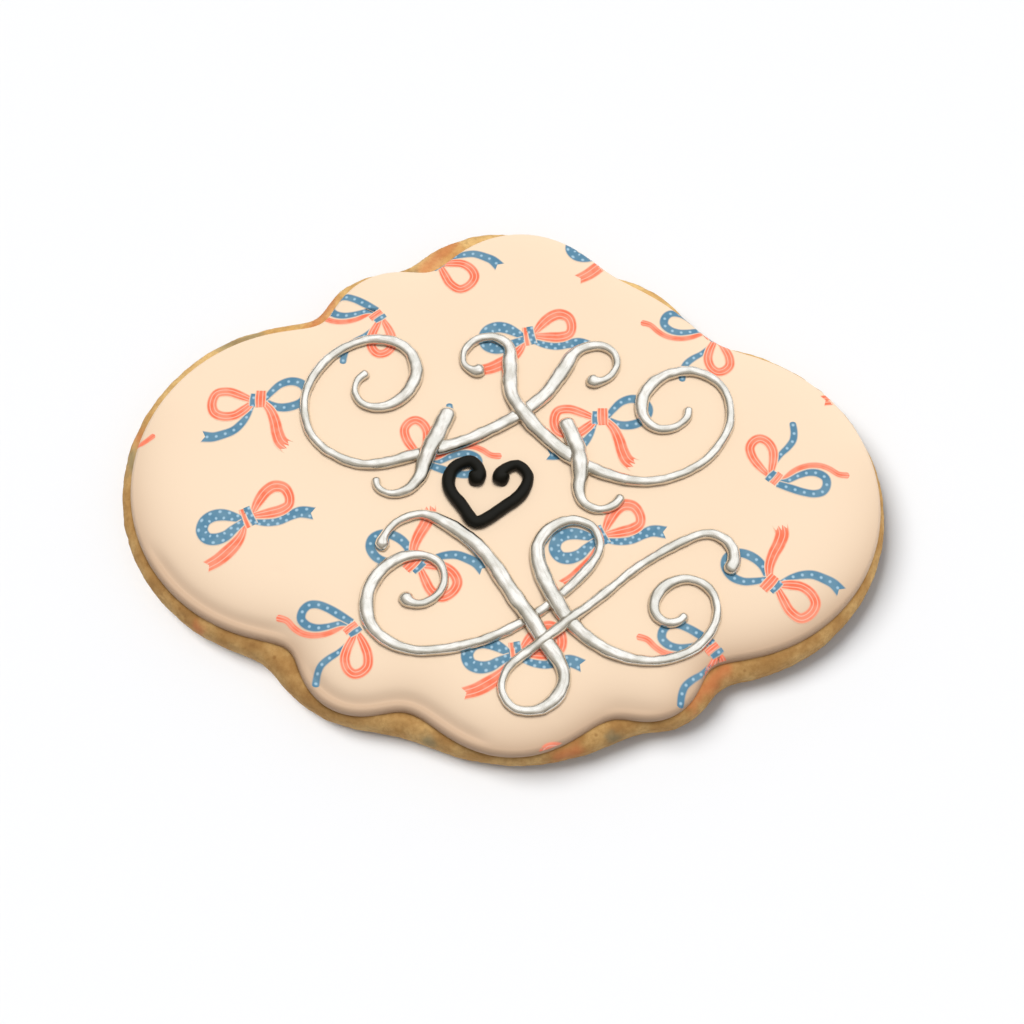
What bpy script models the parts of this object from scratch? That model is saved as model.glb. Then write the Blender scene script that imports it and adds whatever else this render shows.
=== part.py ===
"""Iced sugar cookie: a plaque-shaped cookie, its coat of flooded icing, two silver piped
scrollwork flourishes and a small black piped heart of two curls.

Sizes are in millimetres and become metres where a mesh or a curve is made. +X runs along
the cookie's length, +Y from its near side to its far side, +Z up. The origin is the
middle of the underside.
"""

import math

import bmesh
import bpy
import numpy as np

MM = 0.001
GAP = 0.3  # left between pieces that touch

COOKIE_THICKNESS = 5.2
COOKIE_SIDE_RADIUS = 2.1  # rounding of the baked edge
OUTLINE_POINTS = 120

ICING_WIDEST = 0.7  # height of the widest line of the icing's edge, above its underside
ICING_TUCK = 0.5  # how far the underside draws in below that line
ICING_SHOULDER = 1.5  # width of the rounded edge bead, from the outline to its crest
ICING_BEAD = 1.85  # height of the bead's crest
ICING_TROUGH_INSET = 3.0  # where the shallow trough inside the bead lies
ICING_TROUGH = 1.6  # height of the trough
ICING_RISE = 0.25  # from the trough up to the flooded middle
ICING_RISE_WIDTH = 4.0
ICING_DOME = 0.25  # how far the flooded middle bulges
ICING_DOME_SPAN = np.array([57.0, 43.0])  # where the bulge has died away, along X and Y
BEAD_RING = (0.25, 1.2)  # a ring that rounds the bead: shares of its width and mean height
FLOOD_RINGS = (1.0, 0.93, 0.83, 0.6, 0.3)  # of the way out from the middle to the trough

# Both outlines are the smooth union of circles, one for each lobe: centre x, centre y, radius.
COOKIE_LOBES = {
    "body": (1.5, -1.0, 27.0),
    "left": (-30.2, -1.5, 27.4),
    "upper_left": (-20.0, 25.4, 9.6),
    "crown": (-1.5, 24.6, 18.7),
    "upper_right": (15.0, 20.8, 14.8),
    "right": (30.4, -3.1, 27.1),
    "lower_right": (23.8, -29.2, 7.9),
    "foot": (2.6, -12.2, 31.0),
    "lower_left": (-17.6, -21.6, 17.1),
}
COOKIE_NOTCH = 1.5  # larger values fill the notches between lobes more
ICING_LOBES = {
    "body": (1.5, -1.0, 27.0),
    "left": (-30.6, -1.7, 25.3),
    "upper_left": (-17.7, 24.3, 10.0),
    "crown": (1.6, 27.3, 14.6),
    "upper_right": (10.4, 10.2, 24.1),
    "right": (31.7, -2.8, 24.8),
    "lower_right": (22.3, -29.7, 7.0),
    "foot": (2.4, -28.9, 13.6),
    "lower_left": (-19.5, -28.7, 8.8),
    "belly": (2.1, -10.5, 28.2),
}
ICING_NOTCH = 2.1

PIPED_STEP = 1.6  # spacing of the rings along a piped line
PROFILE_SIDES = 5  # of the round upper part of a piped line's section
BULB = 0.3  # how much wider a line is where the tip touched down
BULB_AT = 1.5  # from the line's start
TREMBLE = 0.08  # the hand's slow waver, as a share of the width
TREMBLE_LENGTH = 17.0
START_TAPER = 1.2  # length over which each end of a line narrows
END_TAPER = 2.5
TIP_SHARE = 0.12  # of the taper that is left at the very tip
SILVER_HALF_WIDTH = 1.1
SILVER_HEIGHT = 1.5
BLACK_HALF_WIDTH = 1.05
BLACK_HEIGHT = 1.6
OVER_STROKE = 0.2  # how much higher a line lies that is piped across another
LEAN = 0.18  # sideways slant of the scrollwork for each unit of height
SCROLL_TURN = math.radians(-2.5)


def lobe_field(x, y, lobes, notch):
    """About the distance outside the smooth union of the lobe circles, negative inside."""
    outside = [np.hypot(x - cx, y - cy) - radius for cx, cy, radius in lobes.values()]
    return -notch * np.log(np.exp(-np.array(outside) / notch).sum(axis=0))


def outline(lobes, notch):
    """Points round the outline, anticlockwise from +X, and the inward normal at each."""
    angles = np.linspace(0, 2 * math.pi, OUTLINE_POINTS, endpoint=False)
    near, far = np.zeros_like(angles), np.full_like(angles, 80.0)
    for _ in range(40):  # halves the range along each ray until it ends on the outline
        middle = (near + far) / 2
        inside = lobe_field(middle * np.cos(angles), middle * np.sin(angles), lobes, notch) < 0
        near, far = np.where(inside, middle, near), np.where(inside, far, middle)
    points = np.stack([near * np.cos(angles), near * np.sin(angles)], axis=1)
    along = np.roll(points, -1, axis=0) - np.roll(points, 1, axis=0)
    along /= np.linalg.norm(along, axis=1)[:, None]
    return points, np.stack([-along[:, 1], along[:, 0]], axis=1)


def icing_height(points):
    """Height of the icing over its underside, inside the trough: a rise from it, and a dome."""
    edge, _ = outline(ICING_LOBES, ICING_NOTCH)
    depth = np.linalg.norm(points[:, None] - edge[None], axis=2).min(axis=1)
    share = np.clip((depth - ICING_TROUGH_INSET) / ICING_RISE_WIDTH, 0, 1)
    rise = ICING_RISE * share**2 * (3 - 2 * share)
    dome = ICING_DOME * (1 - ((points / ICING_DOME_SPAN) ** 2).sum(axis=1))
    return ICING_TROUGH + rise + dome


def material(name, color, roughness, metallic=0.0):
    made = bpy.data.materials.new(name)
    made.use_nodes = True
    shader = made.node_tree.nodes["Principled BSDF"]
    shader.inputs["Base Color"].default_value = (*color, 1.0)
    shader.inputs["Roughness"].default_value = roughness
    shader.inputs["Metallic"].default_value = metallic
    made.diffuse_color = (*color, 1.0)
    return made


def place(obj, collection, its_material=None):
    collection.objects.link(obj)
    if its_material:
        obj.data.materials.append(its_material)
    return obj


def make_cookie(collection):
    """The outline as a filled curve, thickened, with a rounded bevel as the baked edge."""
    edge, inward = outline(COOKIE_LOBES, COOKIE_NOTCH)
    flat = edge + COOKIE_SIDE_RADIUS * inward
    curve = bpy.data.curves.new("cookie", "CURVE")
    curve.dimensions = "2D"
    curve.fill_mode = "BOTH"
    curve.extrude = (COOKIE_THICKNESS / 2 - COOKIE_SIDE_RADIUS) * MM
    curve.bevel_depth = COOKIE_SIDE_RADIUS * MM
    curve.bevel_resolution = 2
    spline = curve.splines.new("POLY")
    spline.use_cyclic_u = True
    spline.points.add(OUTLINE_POINTS - 1)
    for point, (x, y) in zip(spline.points, flat):
        point.co = (x * MM, y * MM, 0, 1)
    cookie = bpy.data.objects.new("cookie", curve)
    cookie.location.z = COOKIE_THICKNESS / 2 * MM
    return place(cookie, collection, material("baked_dough", (0.55, 0.33, 0.14), 0.8))


def make_icing(collection):
    """Rings lofted from the underside, round the edge bead, through the trough, to the middle."""
    edge, inward = outline(ICING_LOBES, ICING_NOTCH)
    mean_height = (ICING_WIDEST + ICING_BEAD) / 2
    rings = [
        (edge + inset * inward, np.full(OUTLINE_POINTS, height))
        for inset, height in (
            (ICING_TUCK, 0.0),
            (0.0, ICING_WIDEST),
            (BEAD_RING[0] * ICING_SHOULDER, BEAD_RING[1] * mean_height),
            (ICING_SHOULDER, ICING_BEAD),
        )
    ]
    trough = edge + ICING_TROUGH_INSET * inward
    for share in FLOOD_RINGS:
        rings.append((share * trough, icing_height(share * trough)))

    shape = bmesh.new()
    underside = COOKIE_THICKNESS + GAP
    loops = [
        [
            shape.verts.new((x * MM, y * MM, (underside + z) * MM))
            for (x, y), z in zip(ring, height)
        ]
        for ring, height in rings
    ]
    for low, high in zip(loops, loops[1:]):
        for i in range(OUTLINE_POINTS):
            j = (i + 1) % OUTLINE_POINTS
            shape.faces.new((low[i], low[j], high[j], high[i]))
    shape.faces.new(list(reversed(loops[0])))
    shape.faces.new(loops[-1])
    mesh = bpy.data.meshes.new("icing")
    shape.to_mesh(mesh)
    shape.free()
    mesh.shade_smooth()
    icing = bpy.data.objects.new("icing", mesh)
    return place(icing, collection, material("royal_icing", (0.95, 0.79, 0.58), 0.4))


def volute(cx, cy, first_radius, last_radius, start, turn):
    """Points of a spiral about (cx, cy) from the start angle, turn degrees anticlockwise."""
    count = max(4, int(abs(turn) // 40))
    share = np.linspace(0, 1, count + 1)
    angle = np.radians(start + turn * share)
    radius = first_radius * (last_radius / first_radius) ** share
    return list(zip(cx + radius * np.cos(angle), cy + radius * np.sin(angle)))


def leaned(points, cx, cy):
    """The points slanted and turned a little about (cx, cy), as a hand pipes a script."""
    x, y = np.array(points, float).T
    x = x - cx + LEAN * (y - cy)
    y = y - cy
    return np.stack(
        [
            cx + x * math.cos(SCROLL_TURN) - y * math.sin(SCROLL_TURN),
            cy + x * math.sin(SCROLL_TURN) + y * math.cos(SCROLL_TURN),
        ],
        axis=1,
    )


def smooth_path(points, step):
    """An even run of points on the centripetal Catmull-Rom curve through the given ones."""
    p = np.vstack([2 * points[0] - points[1], points, 2 * points[-1] - points[-2]])
    knots = np.concatenate([[0], np.cumsum(np.linalg.norm(np.diff(p, axis=0), axis=1) ** 0.5)])
    fine = []
    for i in range(1, len(p) - 2):
        k0, k1, k2, k3 = knots[i - 1 : i + 3]
        t = np.linspace(k1, k2, 24, endpoint=False)[:, None]
        a = ((k1 - t) * p[i - 1] + (t - k0) * p[i]) / (k1 - k0)
        b = ((k2 - t) * p[i] + (t - k1) * p[i + 1]) / (k2 - k1)
        c = ((k3 - t) * p[i + 1] + (t - k2) * p[i + 2]) / (k3 - k2)
        ab = ((k2 - t) * a + (t - k0) * b) / (k2 - k0)
        bc = ((k3 - t) * b + (t - k1) * c) / (k3 - k1)
        fine.append(((k2 - t) * ab + (t - k1) * bc) / (k2 - k1))
    fine = np.vstack([*fine, points[-1:]])
    run = np.concatenate([[0], np.cumsum(np.linalg.norm(np.diff(fine, axis=0), axis=1))])
    even = np.linspace(0, run[-1], max(3, round(run[-1] / step) + 1))
    return np.stack([np.interp(even, run, fine[:, k]) for k in (0, 1)], axis=1), even


def piped_width(run):
    """Width of a piped line, as a share of the usual: round ends, a bulb at the start."""
    length = run[-1]
    bulb = BULB * np.exp(-((run / BULB_AT - 1) ** 2))
    wave = TREMBLE * np.sin(run * 2 * math.pi / TREMBLE_LENGTH)
    start = np.sqrt(np.clip(run / START_TAPER, TIP_SHARE, 1))
    end = np.sqrt(np.clip((length - run) / END_TAPER, TIP_SHARE, 1))
    return (1 + bulb + wave) * start * end


def nozzle_profile(name, half_width, height, guides):
    """The cross-section of a piped line that has settled: flat below, round above."""
    curve = bpy.data.curves.new(name, "CURVE")
    curve.dimensions = "2D"
    spline = curve.splines.new("POLY")
    spline.use_cyclic_u = True
    angles = np.linspace(0, math.pi, PROFILE_SIDES + 1)
    spline.points.add(len(angles) - 1)
    for point, angle in zip(spline.points, angles):
        across = half_width * math.cos(angle)
        point.co = (across * MM, height * math.sin(angle) * MM, 0, 1)
    profile = place(bpy.data.objects.new(name, curve), guides)
    profile.hide_render = True
    profile.display_type = "WIRE"
    return profile


def pipe_stroke(name, points, profile, lift):
    """One piped line, laid on the icing: a curve with the nozzle's profile, made a mesh."""
    path, run = smooth_path(points, PIPED_STEP)
    base = COOKIE_THICKNESS + GAP + icing_height(path) + GAP + lift
    curve = bpy.data.curves.new(name, "CURVE")
    curve.dimensions = "3D"
    curve.twist_mode = "Z_UP"
    curve.bevel_mode = "OBJECT"
    curve.bevel_object = profile
    curve.use_fill_caps = True
    spline = curve.splines.new("POLY")
    spline.points.add(len(path) - 1)
    for point, (x, y), z, width in zip(spline.points, path, base, piped_width(run)):
        point.co = (x * MM, y * MM, z * MM, 1)
        point.radius = width
    drawn = bpy.data.objects.new(name + "_curve", curve)
    bpy.context.scene.collection.objects.link(drawn)
    bpy.context.view_layer.update()
    evaluated = drawn.evaluated_get(bpy.context.evaluated_depsgraph_get())
    mesh = bpy.data.meshes.new_from_object(evaluated)
    mesh.name = name
    welded = bmesh.new()
    welded.from_mesh(mesh)
    bmesh.ops.remove_doubles(welded, verts=welded.verts, dist=0.00001)
    bmesh.ops.recalc_face_normals(welded, faces=welded.faces)
    welded.to_mesh(mesh)
    welded.free()
    mesh.materials.clear()
    stroke = bpy.data.objects.new(name, mesh)
    stroke.matrix_world = drawn.matrix_world
    bpy.data.objects.remove(drawn)
    return stroke


def make_piping(name, strokes, profile, its_material, collection, guides):
    """A piece of piping: its first stroke, joined with each further one by a union."""
    whole = None
    for number, points in enumerate(strokes):
        lift = OVER_STROKE * number
        stroke = pipe_stroke(f"{name}_stroke_{number + 1}", points, profile, lift)
        if whole is None:
            stroke.name = name
            whole = place(stroke, collection, its_material)
            continue
        place(stroke, guides, its_material)
        stroke.hide_render = True
        stroke.display_type = "WIRE"
        union = whole.modifiers.new(stroke.name, "BOOLEAN")
        union.operation = "UNION"
        union.solver = "EXACT"
        union.object = stroke
    return whole


def upper_scroll():
    """Two lines that cross in the middle, each from a small curl to a large volute, and two hooks."""
    strokes = (
        [
            *volute(11.8, 18.0, 2.2, 4.9, -120, 310),
            *((4.6, 11.8), (-3.0, 5.2), (-10.2, 1.8), *volute(-20.4, 12.8, 13.6, 2.6, -85, -500)),
        ],
        [(-8.2, 9.6), (-9.0, 4.6), (-9.6, -0.2), *volute(-13.6, -2.0, 4.0, 2.6, 0, -165)],
        [
            *volute(-5.8, 18.4, 2.2, 4.6, -60, -310),
            *((0.6, 11.9), (7.4, 5.6), (14.2, 1.6), *volute(24.8, 12.0, 12.3, 2.4, -95, 470)),
        ],
        [(9.0, 9.2), (12.2, 4.4), (13.8, -0.2), *volute(18.2, -2.0, 4.2, 2.6, 180, 165)],
    )
    return [leaned(points, 2.0, 10.0) for points in strokes]


def lower_scroll():
    """A tall loop over two volutes, crossed by a low loop whose ends rise into two hooks.

    Each loop is drawn as two strokes that meet round its far end, so that no stroke crosses
    itself.
    """
    strokes = (
        [
            *(*volute(8.0, -12.0, 4.5, 4.5, 70, 140), (10.6, -22.8), (17.8, -27.2)),
            *volute(25.5, -19.8, 8.2, 1.9, -95, 430),
        ],
        [
            *(*volute(8.0, -32.4, 4.3, 4.3, -60, -140), (8.2, -26.0), (14.0, -19.5)),
            *((20.0, -12.8), *volute(28.6, -12.9, 5.0, 3.3, 105, -125)),
        ],
        [
            *(*volute(8.2, -12.2, 4.6, 4.6, 110, -140), (5.4, -22.8), (-2.8, -27.8)),
            *volute(-12.0, -19.6, 9.4, 2.0, -85, -430),
        ],
        [
            *(*volute(8.0, -32.6, 4.4, 4.4, -120, 140), (7.8, -26.0), (1.6, -19.4)),
            *((-5.0, -12.8), *volute(-15.2, -13.6, 5.4, 3.6, 75, 120)),
        ],
    )
    return [leaned(points, 6.0, -21.0) for points in strokes]


def heart_curls():
    """One line: a curl down to the point below, and up again into the other curl."""
    left = [(-4.8, -2.6), (-4.0, -0.6), (-5.8, 1.1), (-8.1, -0.4), (-7.9, -3.2), (-5.1, -6.2)]
    right = [(0.7, -6.2), (3.0, -3.5), (3.2, -0.6), (1.1, 1.0), (-0.8, -0.5), (0.0, -2.4)]
    return [leaned([*left, (-2.4, -8.6), *right], -3.0, -3.0)]


def main():
    for obj in list(bpy.data.objects):
        bpy.data.objects.remove(obj)
    parts = bpy.data.collections.new("iced_sugar_cookie")
    guides = bpy.data.collections.new("guides")
    bpy.context.scene.collection.children.link(parts)
    bpy.context.scene.collection.children.link(guides)

    make_cookie(parts)
    make_icing(parts)
    silver = material("silver_painted_icing", (0.75, 0.75, 0.74), 0.25, 1.0)
    silver_profile = nozzle_profile("silver_profile", SILVER_HALF_WIDTH, SILVER_HEIGHT, guides)
    make_piping("silver_scroll_upper", upper_scroll(), silver_profile, silver, parts, guides)
    make_piping("silver_scroll_lower", lower_scroll(), silver_profile, silver, parts, guides)
    black = material("black_icing", (0.01, 0.01, 0.008), 0.4)
    black_profile = nozzle_profile("black_profile", BLACK_HALF_WIDTH, BLACK_HEIGHT, guides)
    make_piping("black_heart_curls", heart_curls(), black_profile, black, parts, guides)


main()
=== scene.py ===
# Looks of an iced sugar cookie: baked dough, printed cream icing, silver and black piping.
# Lengths are in millimetres until a mesh, a lamp or the camera is made. +X right, +Y away, +Z up.
import math

import bpy
import numpy as np
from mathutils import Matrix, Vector


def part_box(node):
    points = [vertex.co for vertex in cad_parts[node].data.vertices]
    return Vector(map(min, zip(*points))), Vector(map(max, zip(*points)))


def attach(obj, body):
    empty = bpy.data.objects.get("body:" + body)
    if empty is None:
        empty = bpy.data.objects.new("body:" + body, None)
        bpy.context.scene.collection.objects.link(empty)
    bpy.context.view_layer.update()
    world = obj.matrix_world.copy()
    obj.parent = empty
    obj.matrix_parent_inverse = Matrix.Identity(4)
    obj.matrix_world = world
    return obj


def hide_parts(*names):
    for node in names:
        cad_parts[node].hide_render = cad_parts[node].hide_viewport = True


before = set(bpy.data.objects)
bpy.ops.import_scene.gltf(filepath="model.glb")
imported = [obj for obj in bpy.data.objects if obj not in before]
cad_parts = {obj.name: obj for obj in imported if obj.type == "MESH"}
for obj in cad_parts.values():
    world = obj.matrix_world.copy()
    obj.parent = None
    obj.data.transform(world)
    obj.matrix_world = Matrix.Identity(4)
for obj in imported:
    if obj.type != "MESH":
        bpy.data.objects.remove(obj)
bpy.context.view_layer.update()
mm = 0.001
scene = bpy.context.scene
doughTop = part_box("cookie")[1].z / mm
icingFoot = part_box("icing")[0].z / mm


view = {
    "target": (1.5, -5.0, 4.0),
    "height": 68.0,  # degrees above the table
    "turn": 2.0,  # degrees round to the right
    "distance": 250.0,
    "lens": 58.5,
}
studio = {
    "floor": "#dfdfdf",
    "floorSide": 4000.0,
    "softBoxes": {  # where from, degrees across, power, and whether it lights the table or the rest
        "keyBox": ((0.10, 0.26, 0.96), 32.0, 2.97, False),
        "tableBox": ((-0.49, 0.23, 0.84), 35.0, 3.46, True),
    },
    "fill": "#abacaf",  # the room as matt surfaces take it
    "boxFrom": (0.22, 0.40, 0.89),  # middle of the wide reflector that gloss shows
    "boxSpread": (30.0, 66.0),  # degrees from its middle: full, gone
    "box": "#ffffff",
    "skyHigh": "#b4aea4",
    "skyLow": "#7a746b",
    "skyStrength": 1.06,
}


def linear(hexColour):
    # sRGB hex to linear: (c + 0.055) / 1.055 to the power 2.4, and a straight line near black
    parts = np.array([int(hexColour[i : i + 2], 16) / 255 for i in (1, 3, 5)])
    return (*np.where(parts > 0.04045, ((parts + 0.055) / 1.055) ** 2.4, parts / 12.92), 1.0)


def addNode(tree, kind, inputs=None, out=0, **settings):
    # one node: its settings, then each input as a value or as the socket that feeds it
    made = tree.nodes.new("ShaderNode" + kind)
    for name, value in settings.items():
        setattr(made, name, value)
    for slot, value in (inputs or {}).items():
        if isinstance(value, bpy.types.NodeSocket):
            tree.links.new(value, made.inputs[slot])
        else:
            made.inputs[slot].default_value = value
    return made.outputs[out] if made.outputs else None


def newMaterial(name):
    made = bpy.data.materials.new(name)
    made.use_nodes = True
    made.node_tree.nodes.clear()
    return made, made.node_tree


def finishMaterial(tree, shader):
    addNode(tree, "OutputMaterial", {"Surface": shader})


def makeCamera():
    height, turn = math.radians(view["height"]), math.radians(view["turn"])
    target = Vector(view["target"]) * mm
    back = Vector(
        (
            math.sin(turn) * math.cos(height),
            -math.cos(turn) * math.cos(height),
            math.sin(height),
        )
    )
    camera = bpy.data.objects.new("camera", bpy.data.cameras.new("camera"))
    camera.data.lens = view["lens"]
    camera.data.sensor_width = 36.0
    camera.data.clip_start = 0.01
    camera.location = target + back * view["distance"] * mm
    camera.rotation_euler = (-back).to_track_quat("-Z", "Y").to_euler()
    scene.collection.objects.link(camera)
    scene.camera = camera


def makeStudio():
    # a pale matt table, a soft box behind it for the cookie and one to the upper left for the
    # table, so that the shadow falls to the lower right, and a wide reflector in a dim room
    side = studio["floorSide"] * mm / 2
    corners = [(-side, -side, 0), (side, -side, 0), (side, side, 0), (-side, side, 0)]
    mesh = bpy.data.meshes.new("floor")
    mesh.from_pydata(corners, [], [(0, 1, 2, 3)])
    floor = bpy.data.objects.new("floor", mesh)
    floor.location.z = -0.02 * mm
    made, tree = newMaterial("paper_backdrop")
    shader = addNode(tree, "BsdfPrincipled", {"Base Color": linear(studio["floor"]), "Roughness": 0.9})
    finishMaterial(tree, shader)
    mesh.materials.append(made)
    scene.collection.objects.link(floor)

    for name, (lightFrom, spread, power, onTable) in studio["softBoxes"].items():
        lamp = bpy.data.lights.new(name, "SUN")
        lamp.energy = power
        lamp.angle = math.radians(spread)
        softBox = bpy.data.objects.new(name, lamp)
        softBox.rotation_euler = (-Vector(lightFrom)).to_track_quat("-Z", "Y").to_euler()
        softBox.visible_glossy = False  # gloss shows the world's reflector in its place
        scene.collection.objects.link(softBox)
        lit = bpy.data.collections.new(name + "_lights")
        lit.objects.link(floor)
        lit.collection_objects[0].light_linking.link_state = "INCLUDE" if onTable else "EXCLUDE"
        softBox.light_linking.receiver_collection = lit

    world = bpy.data.worlds.new("studio")
    scene.world = world
    world.use_nodes = True
    tree = world.node_tree
    tree.nodes.clear()
    direction = addNode(tree, "TexCoord", out=0)
    height = addNode(tree, "SeparateXYZ", {0: direction}, out=2)
    high = addNode(tree, "MapRange", {0: height, 1: 0.1, 2: 0.7}, interpolation_type="SMOOTHSTEP")
    dark, pale = linear(studio["skyLow"]), linear(studio["skyHigh"])
    room = addNode(tree, "Mix", {0: high, 6: dark, 7: pale}, out=2, data_type="RGBA")
    middle = Vector(studio["boxFrom"]).normalized()
    facing = addNode(tree, "VectorMath", {0: direction, 1: middle}, out=1, operation="DOT_PRODUCT")
    full, gone = (math.cos(math.radians(angle)) for angle in studio["boxSpread"])
    share = addNode(tree, "MapRange", {0: facing, 1: gone, 2: full}, interpolation_type="SMOOTHSTEP")
    shown = addNode(tree, "Mix", {0: share, 6: room, 7: linear(studio["box"])}, out=2, data_type="RGBA")
    glossy = addNode(tree, "LightPath", out=3)
    colour = addNode(tree, "Mix", {0: glossy, 6: linear(studio["fill"]), 7: shown}, out=2, data_type="RGBA")
    sky = addNode(tree, "Background", {0: colour, 1: studio["skyStrength"]})
    addNode(tree, "OutputWorld", {0: sky})
    scene.view_settings.view_transform = "Standard"


makeCamera()
makeStudio()
print("camera and studio made")


def latticeNoise(points, size, seed):
    # random numbers at the corners of cubes of that size, blended with a smooth step, -1 to 1
    lattice = np.random.default_rng(seed).uniform(-1, 1, (32, 32, 32))
    place = np.asarray(points, float) / size
    cell = np.floor(place).astype(int)
    part = place - cell
    part = part * part * (3 - 2 * part)
    total = np.zeros(place.shape[:-1])
    for corner in np.ndindex(2, 2, 2):
        weight = np.where(corner, part, 1 - part).prod(axis=-1)
        i, j, k = np.moveaxis((cell + corner) % 32, -1, 0)
        total += weight * lattice[i, j, k]
    return total


def lobeOutline(lobes, notch, count):
    # level line of -notch * log(sum exp(-d / notch)), d the distance outside each circle:
    # found along rays by halving, then spaced evenly; gives points and inward normals
    angles = np.linspace(0, 2 * math.pi, 4 * count, endpoint=False)
    ray = np.stack([np.cos(angles), np.sin(angles)], axis=1)
    near, far = np.zeros_like(angles), np.full_like(angles, 80.0)
    circles = np.array(list(lobes.values()))
    for _ in range(40):
        middle = (near + far) / 2
        spot = middle[:, None] * ray
        outside = np.hypot(*(spot[:, None] - circles[:, :2]).transpose(2, 0, 1)) - circles[:, 2]
        inside = -notch * np.log(np.exp(-outside / notch).sum(axis=1)) < 0
        near, far = np.where(inside, middle, near), np.where(inside, far, middle)
    line = near[:, None] * ray
    line = np.vstack([line, line[:1]])
    run = np.concatenate([[0], np.cumsum(np.linalg.norm(np.diff(line, axis=0), axis=1))])
    even = np.linspace(0, run[-1], count, endpoint=False)
    points = np.stack([np.interp(even, run, line[:, k]) for k in (0, 1)], axis=1)
    along = np.roll(points, -1, axis=0) - np.roll(points, 1, axis=0)
    along /= np.linalg.norm(along, axis=1)[:, None]
    return points, np.stack([-along[:, 1], along[:, 0]], axis=1)


def smoothPath(points, step):
    # even run along the centripetal Catmull-Rom curve through the points, whatever their columns
    points = np.array(points, float)
    p = np.vstack([2 * points[0] - points[1], points, 2 * points[-1] - points[-2]])
    gaps = np.linalg.norm(np.diff(p[:, :2], axis=0), axis=1)
    knots = np.concatenate([[0], np.cumsum(gaps**0.5)])
    fine = []
    for i in range(1, len(p) - 2):
        k0, k1, k2, k3 = knots[i - 1 : i + 3]
        t = np.linspace(k1, k2, 24, endpoint=False)[:, None]
        a = ((k1 - t) * p[i - 1] + (t - k0) * p[i]) / (k1 - k0)
        b = ((k2 - t) * p[i] + (t - k1) * p[i + 1]) / (k2 - k1)
        c = ((k3 - t) * p[i + 1] + (t - k2) * p[i + 2]) / (k3 - k2)
        ab = ((k2 - t) * a + (t - k0) * b) / (k2 - k0)
        bc = ((k3 - t) * b + (t - k1) * c) / (k3 - k1)
        fine.append(((k2 - t) * ab + (t - k1) * bc) / (k2 - k1))
    fine = np.vstack([*fine, points[-1:]])
    run = np.concatenate([[0], np.cumsum(np.linalg.norm(np.diff(fine[:, :2], axis=0), axis=1))])
    even = np.linspace(0, run[-1], max(4, round(run[-1] / step) + 1))
    return np.stack([np.interp(even, run, column) for column in fine.T], axis=1), even


def sideways(path):
    # unit normal to the left of a flat path
    along = np.gradient(path[:, :2], axis=0)
    along /= np.linalg.norm(along, axis=1)[:, None]
    return np.stack([-along[:, 1], along[:, 0]], axis=1)


def ringFaces(rows, columns):
    # quads between neighbouring closed rings, facing out when the rings climb anticlockwise
    i, j = np.meshgrid(np.arange(rows - 1), np.arange(columns), indexing="ij")
    after = (j + 1) % columns
    quads = [i * columns + j, i * columns + after, (i + 1) * columns + after, (i + 1) * columns + j]
    return np.stack(quads, axis=-1).reshape(-1, 4)


def addMesh(name, points, faces, finish=None, smooth=True):
    mesh = bpy.data.meshes.new(name)
    mesh.from_pydata((np.asarray(points) * mm).tolist(), [], [list(face) for face in faces])
    mesh.validate()
    if smooth:
        mesh.shade_smooth()
    made = bpy.data.objects.new(name, mesh)
    scene.collection.objects.link(made)
    if finish:
        mesh.materials.append(finish)
    return made


def loft(name, rings, finish):
    # closed rings of equal count, the first and the last drawn together in a pole
    rings = np.array(rings)
    rows, columns = rings.shape[:2]
    points = np.vstack([rings.reshape(-1, 3), rings[0].mean(axis=0), rings[-1].mean(axis=0)])
    first, last = rows * columns, rows * columns + 1
    turn = np.arange(columns)
    after = (turn + 1) % columns
    top = (rows - 1) * columns
    bottomFan = np.stack([np.full(columns, first), after, turn], axis=1)
    topFan = np.stack([np.full(columns, last), top + turn, top + after], axis=1)
    faces = [*ringFaces(rows, columns).tolist(), *bottomFan.tolist(), *topFan.tolist()]
    return addMesh(name, points, faces, finish)


def storeNumbers(mesh, name, values):
    mesh.attributes.new(name, "FLOAT", "POINT").data.foreach_set("value", np.asarray(values, np.float32))


def edgeDepth(points):
    # distance of each point from the icing's outline: to the nearest corner's two sides
    depth = np.empty(len(points))
    after = np.roll(icingEdge, -1, axis=0)
    for start in range(0, len(points), 4000):
        part = points[start : start + 4000]
        nearest = ((part[:, None] - icingEdge[None]) ** 2).sum(axis=2).argmin(axis=1)
        best = np.full(len(part), np.inf)
        for corner in (nearest, nearest - 1):
            a, b = icingEdge[corner], after[corner]
            share = np.clip(((part - a) * (b - a)).sum(axis=1) / ((b - a) ** 2).sum(axis=1), 0, 1)
            best = np.minimum(best, np.linalg.norm(part - a - share[:, None] * (b - a), axis=1))
        depth[start : start + 4000] = best
    return depth


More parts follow.
